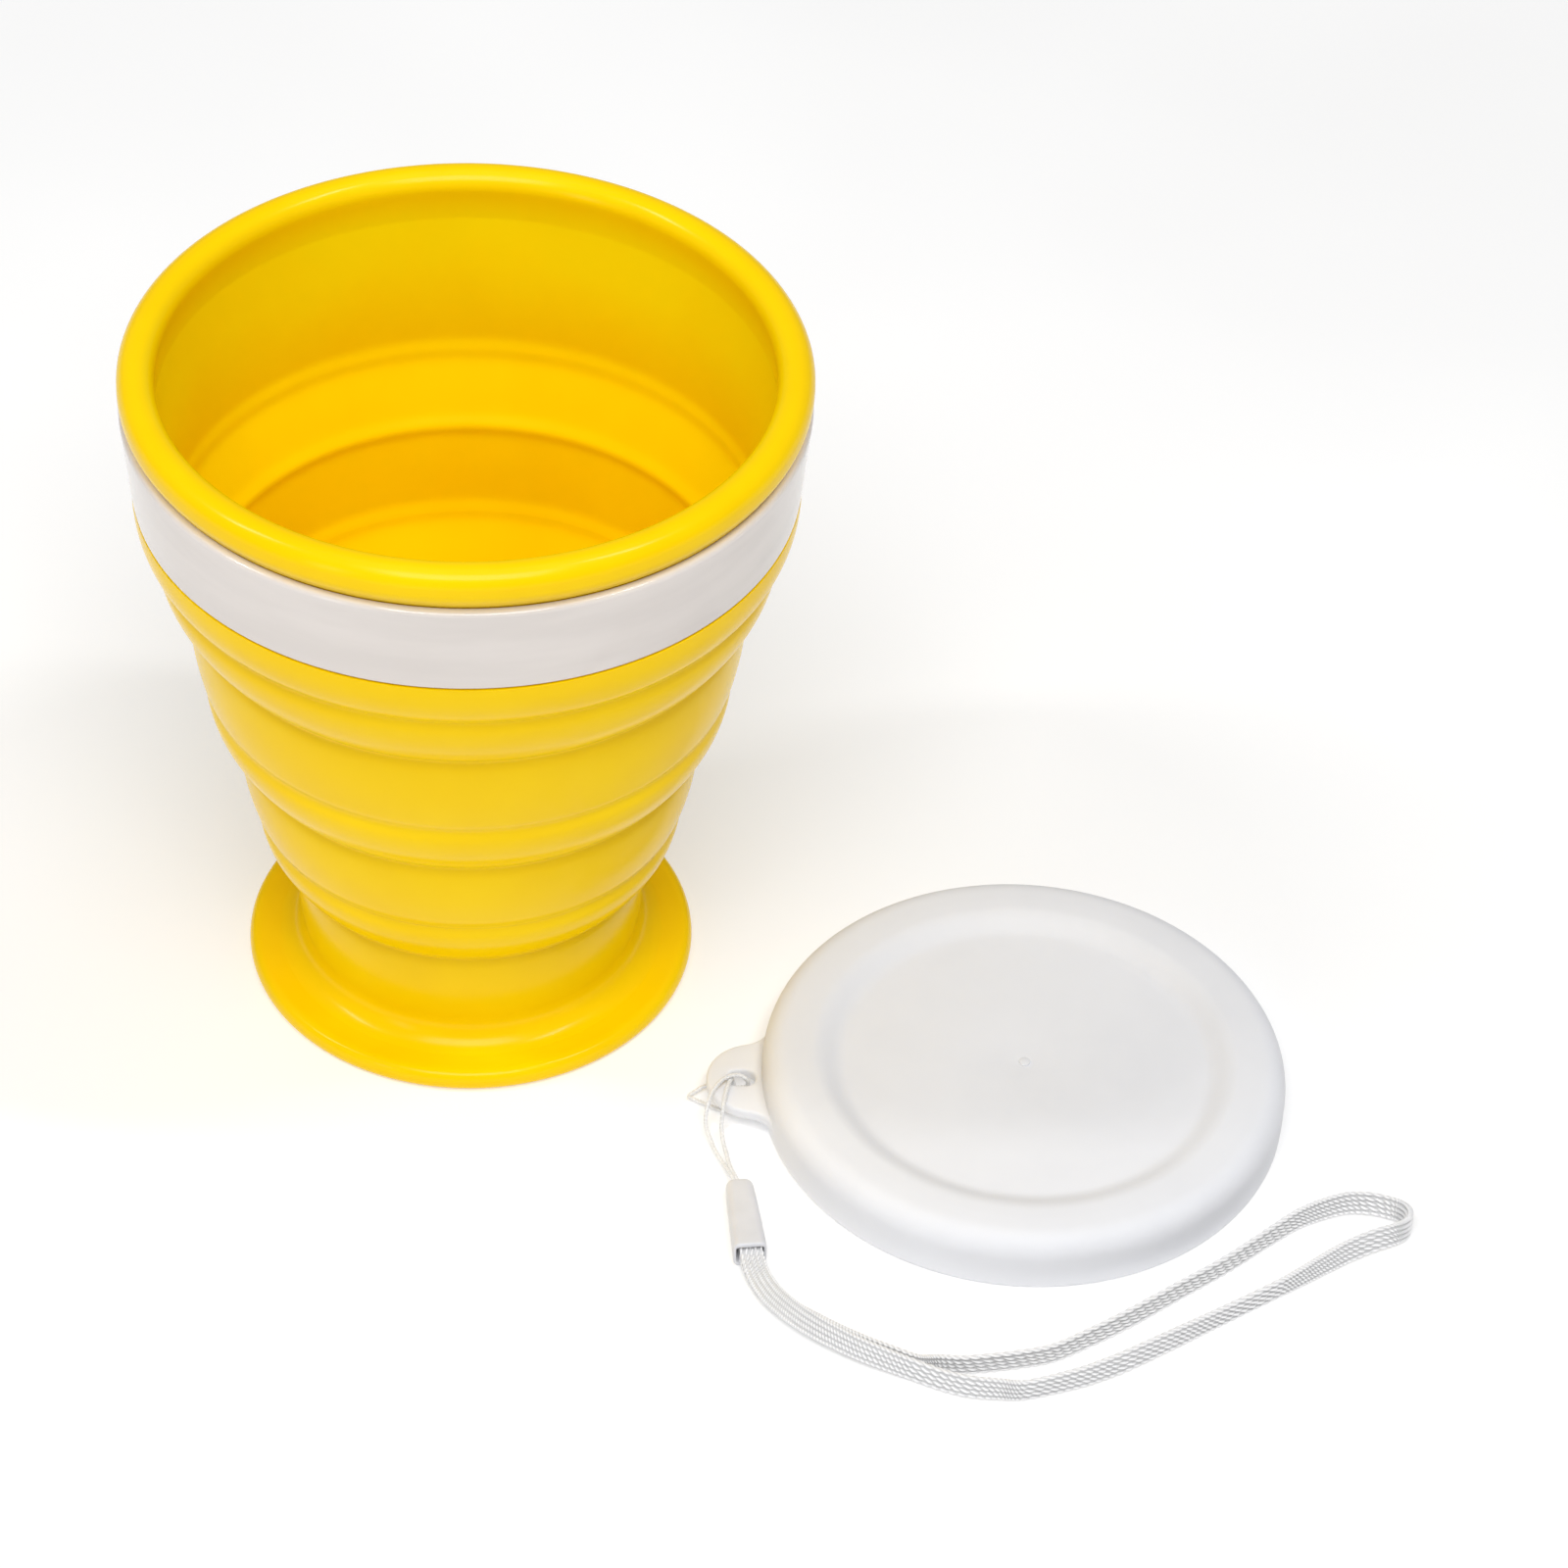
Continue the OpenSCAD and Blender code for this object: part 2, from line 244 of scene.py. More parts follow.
STRAP_W = 3.2
STRAP_T = 1.0
STRAP_STEP = 0.1
YARNS = 5
PLIES = 2
PLY_LAY = 1.35        # along the strap, for one turn of a yarn's two plies
YARN_PHASE = 0.38     # of a turn, from one yarn to the next
CORE_INSET = 0.35
CORE_SHARE = 0.12     # half the core's thickness, as a share of the strap's
LOWEST = 0.02         # the strap's underside stays this far above the table
STRAP_ROUTE = [
    (39.3, -55.4, 2.6, 0), (39.6, -57.4, 2.6, 0), (40.0, -59.0, 2.3, 2), (40.8, -61.1, 1.9, 8),
    (42.4, -64.2, 2.1, 20), (44.7, -66.8, 2.2, 33), (47.3, -69.0, 2.3, 45), (50.2, -70.9, 2.3, 55),
    (53.5, -72.7, 2.2, 64), (56.9, -74.1, 2.0, 70), (60.3, -75.4, 1.8, 75), (63.7, -76.7, 1.7, 74),
    (67.2, -77.6, 1.7, 72), (70.8, -77.8, 1.7, 76), (74.3, -77.6, 1.6, 84), (80.5, -75.4, 1.7, 80),
    (83.5, -73.9, 1.7, 77), (86.6, -72.1, 1.7, 75), (92.7, -68.0, 1.7, 80), (99.0, -63.6, 1.6, 88),
    (105.3, -59.2, 1.6, 90), (108.4, -57.0, 1.7, 84), (111.7, -54.4, 1.7, 74), (114.9, -52.0, 1.7, 66),
    (118.1, -50.0, 1.7, 63), (121.0, -48.6, 1.7, 66), (122.4, -47.7, 1.7, 76), (123.0, -46.5, 1.6, 90),
    (122.7, -45.1, 1.7, 102), (121.4, -44.2, 1.7, 112), (118.4, -43.4, 1.7, 115), (115.3, -43.5, 1.7, 112),
    (112.1, -44.8, 1.7, 107), (108.9, -46.7, 1.7, 100), (105.7, -49.4, 1.6, 96), (99.3, -55.2, 1.6, 92),
    (93.0, -60.2, 1.6, 94), (86.7, -65.3, 1.7, 96), (80.6, -69.5, 1.6, 94), (77.2, -71.5, 1.6, 92),
    (73.6, -72.6, 1.6, 90), (70.1, -73.4, 1.6, 90), (66.5, -74.0, 1.6, 90), (63.3, -74.1, 1.6, 94),
    (60.7, -74.3, 1.5, 105), (57.3, -73.1, 1.6, 110), (53.9, -71.8, 1.7, 116), (50.7, -70.1, 1.6, 125),
    (47.8, -68.3, 1.5, 135), (45.1, -66.4, 1.3, 147), (42.7, -64.0, 1.0, 160), (40.9, -61.0, 0.8, 172),
    (40.0, -59.0, 1.1, 178), (39.6, -57.4, 1.25, 180), (39.3, -55.4, 1.25, 180)]


def twisted_cord(name, route, diameter, strands=3, lay=1.3, around=8):
    """A cord of strands twisted round each other along a route."""
    strand_r = diameter * STRAND_SHARE
    path = smooth_route(route, diameter * STRING_STEP)
    heading, side = frames_along(path)
    up = np.cross(heading, side)
    offset = diameter / 2 - strand_r
    step = np.linalg.norm(path[1] - path[0])
    verts, faces = [], []
    for s in range(strands):
        turn = 2 * math.pi * (np.arange(len(path)) * step / lay + s / strands)
        middle = path + offset * (np.cos(turn)[:, None] * side + np.sin(turn)[:, None] * up)
        start = len(verts)
        for k in range(len(path)):
            for j in range(around):
                a = 2 * math.pi * j / around
                verts.append(middle[k] + strand_r * (math.cos(a) * side[k] + math.sin(a) * up[k]))
        faces += grid_faces(len(path), around, start)
    return make_object(name, verts, faces, sharp=80), path


def braided_strap(name, route, width, thick):
    """A flat braid along a route of (x, y, z, roll): two-ply yarns side by side over a thin core; each
    point stores how near it lies to a ply's crown, which the strap's material turns into painted shade
    between the plies.
    """
    around = 7
    path4 = smooth_route(route, STRAP_STEP)
    path, roll = path4[:, :3], np.radians(path4[:, 3])
    step = np.mean(np.linalg.norm(np.diff(path, axis=0), axis=1))
    heading = np.gradient(path, axis=0)
    heading /= np.linalg.norm(heading, axis=1)[:, None]
    side = np.cross((0, 0, 1), heading)
    side /= np.linalg.norm(side, axis=1)[:, None]
    up = np.cross(heading, side)
    across = side * np.cos(roll)[:, None] + up * np.sin(roll)[:, None]
    through = up * np.cos(roll)[:, None] - side * np.sin(roll)[:, None]

    column = width / YARNS
    half = np.array([column * 0.47, thick / 2])   # of one yarn, across and through
    ply = half * 0.56
    swing = half - ply
    along = np.arange(len(path)) * step
    verts, faces, tone = [], [], []
    for y in range(YARNS):
        centre = (y - (YARNS - 1) / 2) * column
        at_edge = y in (0, YARNS - 1)
        edge, reach = (0.82, 0.45) if at_edge else (1.0, 1.0)   # thinner and straighter at the edges
        for k in range(PLIES):
            turn = 2 * math.pi * (along / PLY_LAY + k / PLIES + YARN_PHASE * y)
            cx, cz = swing[0] * reach * np.cos(turn), swing[1] * edge * np.sin(turn)
            faces += grid_faces(len(path), around, len(path) * around * (y * PLIES + k))
            ring, ring_painted_shade = [], []
            for j in range(around):
                a = 2 * math.pi * j / around
                x = cx + ply[0] * math.cos(a)
                z = cz + ply[1] * edge * math.sin(a)
                ring.append(path + (centre + x)[:, None] * across + z[:, None] * through)
                # painted shade: points near a ply's crown, and on the edge yarns towards the strap's outer
                # side, get a higher value and so a lighter colour
                outer = x / half[0] * np.sign(centre) if at_edge else 0
                ring_painted_shade.append(np.maximum(np.abs(z) / half[1], outer))
            verts.append(np.stack(ring, axis=1).reshape(-1, 3))
            tone.append(np.stack(ring_painted_shade, axis=1).reshape(-1))
    core = [(s * (width / 2 - CORE_INSET), t * thick * CORE_SHARE)
            for s, t in ((1, -1), (1, 1), (-1, 1), (-1, -1))]
    faces += grid_faces(len(path), 4, sum(len(v) for v in verts))
    verts.append(np.stack([path + x * across + z * through for x, z in core], axis=1).reshape(-1, 3))
    tone.append(np.zeros(len(path) * 4))
    verts = np.concatenate(verts)
    verts[:, 2] = np.maximum(verts[:, 2], LOWEST)
    made = make_object(name, verts, faces, sharp=75)
    # painted shade: the stored value darkens the colour where plies meet
    layer = made.data.attributes.new("stitch_height_painted_shade", "FLOAT", "POINT")
    layer.data.foreach_set("value", np.concatenate(tone).astype(np.float32))
    return made, path


string_piece, string_path = twisted_cord("lid_string", STRING_ROUTE, STRING_D)
strap_piece, strap_path = braided_strap("braided_strap", STRAP_ROUTE, STRAP_W, STRAP_T)


# ---------------------------------------------------------------- clip

CLIP_TOP = (37.6, -45.1)
CLIP_TURN = 8.6
CLIP_L = 12.7
CLIP_W = (3.5, 4.2)   # at the narrow and at the wide end
CLIP_T = (2.8, 3.9)
CLIP_HOLE = 1.9
CLIP_HOLE_L = 1.6
SOCKET = (3.5, 2.6)
SOCKET_L = 3.6
SOCKET_Z = 0.65
CLIP_NOSE = 1.0       # radius of the rounding at the narrow end
CLIP_EDGE = 0.3       # radius of the rounding at the wide end


def rounded_rect(w, t, r, corner=6):
    """Points round a rounded rectangle of width w and height t that stands on z = 0."""
    pts = []
    for cx, cz, a0 in ((w / 2 - r, r, -90), (w / 2 - r, t - r, 0),
                       (-w / 2 + r, t - r, 90), (-w / 2 + r, r, 180)):
        for k in range(corner + 1):
            a = math.radians(a0 + 90 * k / corner)
            pts.append((cx + r * math.cos(a), cz + r * math.sin(a)))
    return pts


def make_clip():
    """A tapered sleeve with rounded ends, a hole at its narrow end and a socket at its wide end."""
    rings = []

    def ring(along, w, t, r, lift=0.0):
        rings.append([(x, -along, z + lift) for x, z in rounded_rect(w, t, r)])

    def size(along):
        f = along / CLIP_L
        return [low + (high - low) * f for low, high in (CLIP_W, CLIP_T)]

    hole, (mouth_w, mouth_t) = CLIP_HOLE, SOCKET
    ring(CLIP_HOLE_L, hole * 0.5, hole * 0.5, hole * 0.24, 0.85)
    ring(CLIP_HOLE_L, hole, hole, hole / 2 - 0.02, 0.38)
    ring(0.35, hole, hole, hole / 2 - 0.02, 0.38)
    ring(0.12, hole + 0.25, hole + 0.25, hole / 2 + 0.05, 0.26)
    for k in range(1, 10):
        a = math.radians(10 * k)
        along, inset = CLIP_NOSE * (1 - math.cos(a)), CLIP_NOSE * (1 - math.sin(a))
        w, t = size(along)
        ring(along, w - 1.1 * inset, t - 0.8 * inset, 1.0 - 0.35 * inset, 0.4 * inset)
    for f in np.linspace(0.10, 0.965, 24):
        w, t = size(f * CLIP_L)
        swell = 0.06 * math.sin(math.pi * f)
        ring(f * CLIP_L, w + swell, t + swell, 1.0 - 0.15 * f)
    w, t = size(CLIP_L)
    for k in range(1, 6):
        a = math.radians(90 * k / 5)
        inset = CLIP_EDGE * (1 - math.cos(a))
        along = CLIP_L - CLIP_EDGE * (1 - math.sin(a))
        ring(along, w - 2 * inset, t - 2 * inset, 0.8 - inset, inset)
    ring(CLIP_L - 0.02, mouth_w + 0.2, mouth_t + 0.2, 0.5, 0.55)
    ring(CLIP_L - 0.2, mouth_w, mouth_t, 0.45, SOCKET_Z)
    ring(CLIP_L - SOCKET_L, mouth_w, mouth_t, 0.45, SOCKET_Z)
    turn = math.radians(CLIP_TURN)
    verts = []
    for r in rings:
        for x, y, z in r:
            verts.append((CLIP_TOP[0] + x * math.cos(turn) - y * math.sin(turn),
                          CLIP_TOP[1] + x * math.sin(turn) + y * math.cos(turn), z))
    around = len(rings[0])
    faces = [f[::-1] for f in grid_faces(len(rings), around)]
    return make_object("strap_clip_shell", verts, faces, sharp=50)


clip_piece = make_clip()


# ---------------------------------------------------------------- cup: one silicone skin in seven lengths

RIDGE = {  # inner ridges, opposite the outer creases
    "top_low": (37.35, 70.4), "mid_top": (33.3, 60.8), "mid_low": (32.3, 47.7),
    "low_top": (27.7, 38.3), "low_low": (26.2, 25.9), "neck_top": (20.9, 16.5)}

CREASE_SOFT = 0.4       # how far the outer creases are rounded over
RIDGE_SOFT = 0.45       # and the inner ridges
GROOVE = (0.3, 1.0)     # depth and reach of the groove along each outer crease
LIP = (0.4, 1.1)        # height and reach of the low lip along each inner ridge
NECK_LOW = 6.4          # height where the neck starts to sweep out into the flange
SWEEP_R = 3.4
FLOOR_ROUND = 2.6
NECK_INNER_R = 20.2
BEAD_R = 2.3
THROAT = (38.05, 90.5)  # on the inner wall, where the rim's bead ends


def up(line):
    """A line read the other way."""
    return list(line)[::-1]


def drawn_in(line, heights, size):
    """A line drawn in towards the axis at each of those heights, by an amount over a reach."""
    amount, reach = size
    return [(r - sum(amount * math.exp(-((z - at) / reach) ** 2) for at in heights), z)
            for r, z in line]


def cut(line, heights):
    """A line read upwards, cut into lengths at those heights."""
    out, current = [], [tuple(line[0])]
    waiting = list(heights)
    for a, b in zip(line[:-1], line[1:]):
        while waiting and a[1] <= waiting[0] < b[1]:
            f = (waiting[0] - a[1]) / (b[1] - a[1])
            p = (a[0] + (b[0] - a[0]) * f, waiting.pop(0))
            current.append(p)
            out.append(current)
            current = [p]
        current.append(tuple(b))
    out.append(current)
    return out


def make_silicone():
    """Seven solids that meet on shared cuts: foot, web, tier, web, tier, web and top tier."""
    outer = up(soften(
        bow((41.42, 78.95), TOP_LOW, 2.2, 0.1)
        + bow(TOP_LOW, MID_TOP, 2.0, 0.12)[1:]
        + bow(MID_TOP, MID_LOW, 2.1, 0.12)[1:]
        + bow(MID_LOW, LOW_TOP, 2.0, 0.12)[1:]
        + bow(LOW_TOP, LOW_LOW, 2.1, 0.12)[1:]
        + bow(LOW_LOW, NECK_TOP, 2.0, 0.1)[1:]
        + bow(NECK_TOP, (NECK_R, NECK_LOW), 1.6, 0.1)[1:], CREASE_SOFT))
    creases = [NECK_TOP[1], LOW_LOW[1], LOW_TOP[1], MID_LOW[1], MID_TOP[1], TOP_LOW[1]]
    outer = drawn_in(outer, creases, GROOVE)
    inner = up(soften(
        bow(THROAT, RIDGE["top_low"], 1.0, -0.45)
        + bow(RIDGE["top_low"], RIDGE["mid_top"], 1.1, -0.25)[1:]
        + bow(RIDGE["mid_top"], RIDGE["mid_low"], 1.0, -0.25)[1:]
        + bow(RIDGE["mid_low"], RIDGE["low_top"], 1.1, -0.25)[1:]
        + bow(RIDGE["low_top"], RIDGE["low_low"], 1.0, -0.25)[1:]
        + bow(RIDGE["low_low"], RIDGE["neck_top"], 1.1, -0.2)[1:]
        + bow(RIDGE["neck_top"], (NECK_INNER_R, 6.2), 1.0, -0.1)[1:], RIDGE_SOFT))
    inner = drawn_in(inner, [at for _, at in RIDGE.values()], LIP)
    outer_parts = cut(outer, creases)
    inner_parts = cut(inner, [RIDGE[k][1] for k in
                              ("neck_top", "low_low", "low_top", "mid_low", "mid_top", "top_low")])

    # Flange: flat underside, a rounded edge with a slight lip, and a hollow curve up to the neck
    flange = soften(
        [(FOOT_R - 1.0, 0), (FOOT_R - 0.3, 0.25), (FOOT_R + 0.05, 1.0), (FOOT_R, 1.9),
         (FOOT_R - 0.45, 2.75), (FOOT_R - 1.2, 2.95), (FOOT_R - 2.4, 2.75), (FOOT_R - 4, 2.62)],
        0.35)
    sweep_up = arc((NECK_R + SWEEP_R, 2.6 + SWEEP_R), SWEEP_R, 270, 185, 14)
    foot_outer = [tuple(p) for p in flange] + sweep_up[1:]
    foot_outer += [p for p in outer_parts[0] if p[1] > foot_outer[-1][1] + 0.3]
    floor = arc((NECK_INNER_R - FLOOR_ROUND, FLOOR_Z + FLOOR_ROUND), FLOOR_ROUND, 0, -90, 10)
    foot_inner = up(inner_parts[0]) + floor[1:] + [(0, FLOOR_Z)]
    foot_outline = [(0, 0), (14, 0)] + foot_outer + foot_inner

    # Rim: a round bead over the seat of the band
    bead = (40.2, CUP_H - BEAD_R)
    rim_outer = ([(40.25, 79.0), (40.25, 79.3), (41.15, 91.4), (41.2, 91.7), (41.6, 91.95)]
                 + arc((bead[0], CUP_H - 2.9), BEAD_R, -42, 0, 10) + arc(bead, BEAD_R, 8, 180, 40))
    top_outer = outer_parts[6] + rim_outer
    top_inner = [tuple(p) for p in soften([(37.9, 94.6), (37.98, 93.0), THROAT], 0.4)][1:]
    top_outline = top_outer + top_inner + up(inner_parts[6])[1:]

    made = {"cup_foot": lathe("cup_foot", foot_outline)}
    for k, name in enumerate(("cup_web_low", "cup_tier_low", "cup_web_mid",
                              "cup_tier_mid", "cup_web_high"), start=1):
        made[name] = lathe(name, outer_parts[k] + up(inner_parts[k]))
    made["cup_tier_top"] = lathe("cup_tier_top", top_outline)
    return made


cup = make_silicone()


def make_band():
    """The hard band: a slightly tapered ring with rounded edges."""
    wall, soft = 1.15, 0.55
    r0, r1 = BAND_R
    z0, z1 = BAND_Z[0] - 0.05, 91.5
    outline = (
        arc((r0 - soft, z0 + soft), soft, -90, -5, 8)
        + [(r0 + (r1 - r0) * f, z0 + (z1 - z0) * f) for f in (0.2, 0.4, 0.6, 0.8)]
        + arc((r1 - soft, z1 - soft), soft, -5, 90, 8)
        + [(r1 - wall, z1), (r0 - wall, z0)])
    return lathe("cup_band", outline, steps=240)


band = make_band()


# ---------------------------------------------------------------- lid

def make_lid():
    """The lid's shell, and its tab's outline and hole in plan."""
    skirt = 1.4
    crown = soften(
        [(LID_R - 0.05, 0.5), (LID_R, 2)] + arc((LID_R - 3.1, LID_H - 3.15), 3.1, 0, 90, 16)
        + [(29.2, LID_H - 0.02), (27.3, LID_H - 0.1), (26.3, LID_H - 0.45), (24.7, 6.62),
           (23.9, 6.32), (23.0, 6.3)], 0.3)
    disc = [(12, 6.3), (1.1, 6.3)] + arc((0.62, 6.36), 0.14, -60, 90, 4) + [(0, 6.5)]
    under = [(0, 4.9), (23.4, 4.9), (24.2, 5.0), (26.2, 6.3), (27.2, 6.55), (30.6, 6.55)] + arc(
        (LID_R - 3.1, LID_H - 3.15), 1.7, 88, 0, 8)
    grip = [(LID_R - skirt, 3.0), (LID_R - skirt - 0.3, 2.3), (LID_R - skirt - 0.3, 1.6),
            (LID_R - skirt, 0.9), (LID_R - skirt + 0.1, 0)]
    outline = [(LID_R - 0.35, 0)] + [tuple(p) for p in crown] + disc + under + grip
    shell = lathe("lid_shell", outline, LID_AT, steps=256)

    # Tab in plan: a round end with hollow curves running into the lid's edge
    tab_r, tab_u, hollow = 6.3, 34.9, 4.0
    to_lid, to_tab = LID_R + hollow, tab_r + hollow
    at_lid = math.degrees(math.acos(
        (tab_u ** 2 + to_lid ** 2 - to_tab ** 2) / (2 * tab_u * to_lid)))
    hollow_at = [(to_lid * math.cos(math.radians(s * at_lid)),
                  to_lid * math.sin(math.radians(s * at_lid))) for s in (-1, 1)]
    end_turn = math.degrees(math.atan2(hollow_at[1][1], hollow_at[1][0] - tab_u))
    plan = arc(hollow_at[0], hollow, 180 - at_lid, 180 - end_turn, 12)
    plan += arc((tab_u, 0), tab_r, -end_turn, end_turn, 36)
    plan += arc(hollow_at[1], hollow, 180 + end_turn, 180 + at_lid, 12)
    inset = LID_R - 0.9
    plan += [(inset * math.cos(math.radians(a)), inset * math.sin(math.radians(a)))
             for a in np.linspace(at_lid, -at_lid, 10)]
    hole_l, hole_w, hole_u = 3.7, 2.8, 36.7
    shift = (hole_l - hole_w) / 2
    hole = arc((hole_u + shift, 0), hole_w / 2, -90, 90, 14)
    hole += arc((hole_u - shift, 0), hole_w / 2, 90, 270, 14)
    return shell, plan, hole


def evaluated_mesh(obj):
    """A new mesh of an object as its curve or its modifiers make it."""
    bpy.context.view_layer.update()
    return bpy.data.meshes.new_from_object(
        obj.evaluated_get(bpy.context.evaluated_depsgraph_get()))


def plate(name, plan, hole, z, soft):
    """A flat plate with a hole from plans in local mm, its edges rounded."""
    data = bpy.data.curves.new(name, "CURVE")
    data.dimensions = "2D"
    data.fill_mode = "BOTH"
    data.extrude = ((z[1] - z[0]) / 2 - soft) * MM
    data.bevel_depth = soft * MM
    data.bevel_resolution = 4
    data.offset = -soft * MM
    for line in (plan, hole):
        spline = data.splines.new("POLY")
        spline.points.add(len(line) - 1)
        for p, (x, y) in zip(spline.points, line):
            p.co = (x * MM, y * MM, 0, 1)
        spline.use_cyclic_u = True
    holder = bpy.data.objects.new(name, data)
    bpy.context.scene.collection.objects.link(holder)
    middle = Vector((LID_AT[0], LID_AT[1], (z[0] + z[1]) / 2)) * MM
    holder.matrix_world = (Matrix.Translation(middle)
                           @ Matrix.Rotation(math.radians(TAB_TURN), 4, "Z"))
    mesh = evaluated_mesh(holder)
    mesh.transform(holder.matrix_world)
    bpy.data.objects.remove(holder)
    made = bpy.data.objects.new(name, mesh)
    bpy.context.scene.collection.objects.link(made)
    return made


def weld(obj, distance=0.002):
    """Joins points that lie within a distance in mm, and turns every face outwards."""
    bm = bmesh.new()
    bm.from_mesh(obj.data)
    bmesh.ops.remove_doubles(bm, verts=bm.verts, dist=distance * MM)
    bmesh.ops.recalc_face_normals(bm, faces=bm.faces)
    bm.to_mesh(obj.data)
    bm.free()


def unite(base, extra):
    """base with extra joined to it, as one mesh; extra goes."""
    step = base.modifiers.new("unite", "BOOLEAN")
    step.operation = "UNION"
    step.solver = "EXACT"
    step.object = extra
    mesh = evaluated_mesh(base)
    base.modifiers.clear()
    base.data = mesh
    bpy.data.objects.remove(extra)
    base.data.shade_smooth()
    base.data.set_sharp_from_angle(angle=math.radians(35))


lid, tab_plan, tab_hole = make_lid()
tab = plate("lid_tab", tab_plan, tab_hole, TAB_Z, 0.4)
weld(tab)
unite(lid, tab)


# ---------------------------------------------------------------- materials

def node_material(name):
    """A new material with one Principled shader: the material, its tree and the shader."""
    mat = bpy.data.materials.new(name)
    mat.use_nodes = True
    tree = mat.node_tree
    tree.nodes.clear()
    out = tree.nodes.new("ShaderNodeOutputMaterial")
    shader = tree.nodes.new("ShaderNodeBsdfPrincipled")
    tree.links.new(shader.outputs["BSDF"], out.inputs["Surface"])
    return mat, tree, shader


def noise(tree, scale, detail=2.0, roughness=0.5, stretch=(1, 1, 1)):
    """Noise over object coordinates in metres."""
    where = tree.nodes.new("ShaderNodeTexCoord")
    mapping = tree.nodes.new("ShaderNodeMapping")
    mapping.inputs["Scale"].default_value = stretch
    tex = tree.nodes.new("ShaderNodeTexNoise")
    tex.inputs["Scale"].default_value = scale
    tex.inputs["Detail"].default_value = detail
    tex.inputs["Roughness"].default_value = roughness
    tree.links.new(where.outputs["Object"], mapping.inputs["Vector"])
    tree.links.new(mapping.outputs["Vector"], tex.inputs["Vector"])
    return tex.outputs["Fac"]


def ramp(tree, source, stops):
    """Colours spread softly over a value, from (position, colour) stops."""
    node = tree.nodes.new("ShaderNodeValToRGB")
    node.color_ramp.interpolation = "EASE"
    for k, (at, colour) in enumerate(stops):
        element = node.color_ramp.elements[k] if k < 2 else node.color_ramp.elements.new(at)
        element.position = at
        element.color = colour
    tree.links.new(source, node.inputs["Fac"])
    return node.outputs["Color"]


def spread(tree, source, low, high, to_low, to_high):
    """A value mapped from one range to another."""
    node = tree.nodes.new("ShaderNodeMapRange")
    for key, value in zip(("From Min", "From Max", "To Min", "To Max"), (low, high, to_low, to_high)):
        node.inputs[key].default_value = value
    tree.links.new(source, node.inputs["Value"])
    return node.outputs["Result"]


def bump(tree, shader, source, height_mm, strength=1.0):
    """Fine relief of that height on a shader."""
    node = tree.nodes.new("ShaderNodeBump")
    node.inputs["Strength"].default_value = strength
    node.inputs["Distance"].default_value = height_mm * MM
    tree.links.new(source, node.inputs["Height"])
    tree.links.new(node.outputs["Normal"], shader.inputs["Normal"])


def silicone_material():
    """Satin silicone: a faint moulded grain, slow changes of tone, and painted light: a lighter yellow on
    the cup's interior walls that stands in for the light falling into the cup.
    """
    mat, tree, shader = node_material("silicone_yellow")
    clouds = noise(tree, 45, 3, 0.6)
    # painted light: the interior walls get a lighter yellow, mixed in by each vertex's stored share, in
    # place of the light that falls into the cup
    inside = tree.nodes.new("ShaderNodeAttribute")
    inside.attribute_name = "inside"
    tone = tree.nodes.new("ShaderNodeMix")
    tone.data_type = "RGBA"
    tree.links.new(inside.outputs["Fac"], tone.inputs["Factor"])
    tree.links.new(ramp(tree, clouds, [(0.32, lin(251, 207, 0)), (0.68, lin(254, 212, 2))]),
                   tone.inputs["A"])
    # the painted light's lighter yellow for the interior walls
    tree.links.new(ramp(tree, clouds, [(0.32, lin(255, 225, 6)), (0.68, lin(255, 230, 8))]),
                   tone.inputs["B"])
    tree.links.new(tone.outputs["Result"], shader.inputs["Base Color"])
    tree.links.new(spread(tree, noise(tree, 260, 4, 0.65), 0.3, 0.7, 0.18, 0.22),
                   shader.inputs["Roughness"])
    bump(tree, shader, noise(tree, 1400, 2, 0.5), 0.004, 0.3)
    shader.inputs["IOR"].default_value = 1.43
    shader.inputs["Specular IOR Level"].default_value = 0.16
    return mat


def band_material():
    """Polished white plastic with faint flow marks round the band."""
    mat, tree, shader = node_material("band_white")
    tone = ramp(tree, noise(tree, 30, 3, 0.6, (1, 1, 6)),
                [(0.3, lin(222, 215, 210)), (0.7, lin(229, 222, 217))])
    tree.links.new(tone, shader.inputs["Base Color"])
    tree.links.new(spread(tree, noise(tree, 180, 4, 0.7), 0.3, 0.7, 0.08, 0.13),
                   shader.inputs["Roughness"])
    bump(tree, shader, noise(tree, 900, 2, 0.5), 0.006, 0.3)
    shader.inputs["IOR"].default_value = 1.5
    shader.inputs["Subsurface Weight"].default_value = 0.1
    shader.inputs["Subsurface Radius"].default_value = (1.0, 1.0, 1.0)
    shader.inputs["Subsurface Scale"].default_value = 0.001
    return mat


def lid_material():
    """Frosted soft plastic: fine spark grain, faint clouding."""
    mat, tree, shader = node_material("lid_frosted")
    tone = ramp(tree, noise(tree, 40, 4, 0.6),
                [(0.3, lin(228, 229, 233)), (0.7, lin(232, 233, 237))])
    tree.links.new(tone, shader.inputs["Base Color"])
    tree.links.new(spread(tree, noise(tree, 320, 3, 0.6), 0.3, 0.7, 0.5, 0.64),
                   shader.inputs["Roughness"])
    bump(tree, shader, noise(tree, 3200, 2, 0.6), 0.012, 0.6)
    shader.inputs["IOR"].default_value = 1.5
    shader.inputs["Specular IOR Level"].default_value = 0.25
    shader.inputs["Subsurface Weight"].default_value = 0.35
    shader.inputs["Subsurface Radius"].default_value = (1.0, 1.0, 1.0)
    shader.inputs["Subsurface Scale"].default_value = 0.0025
    return mat


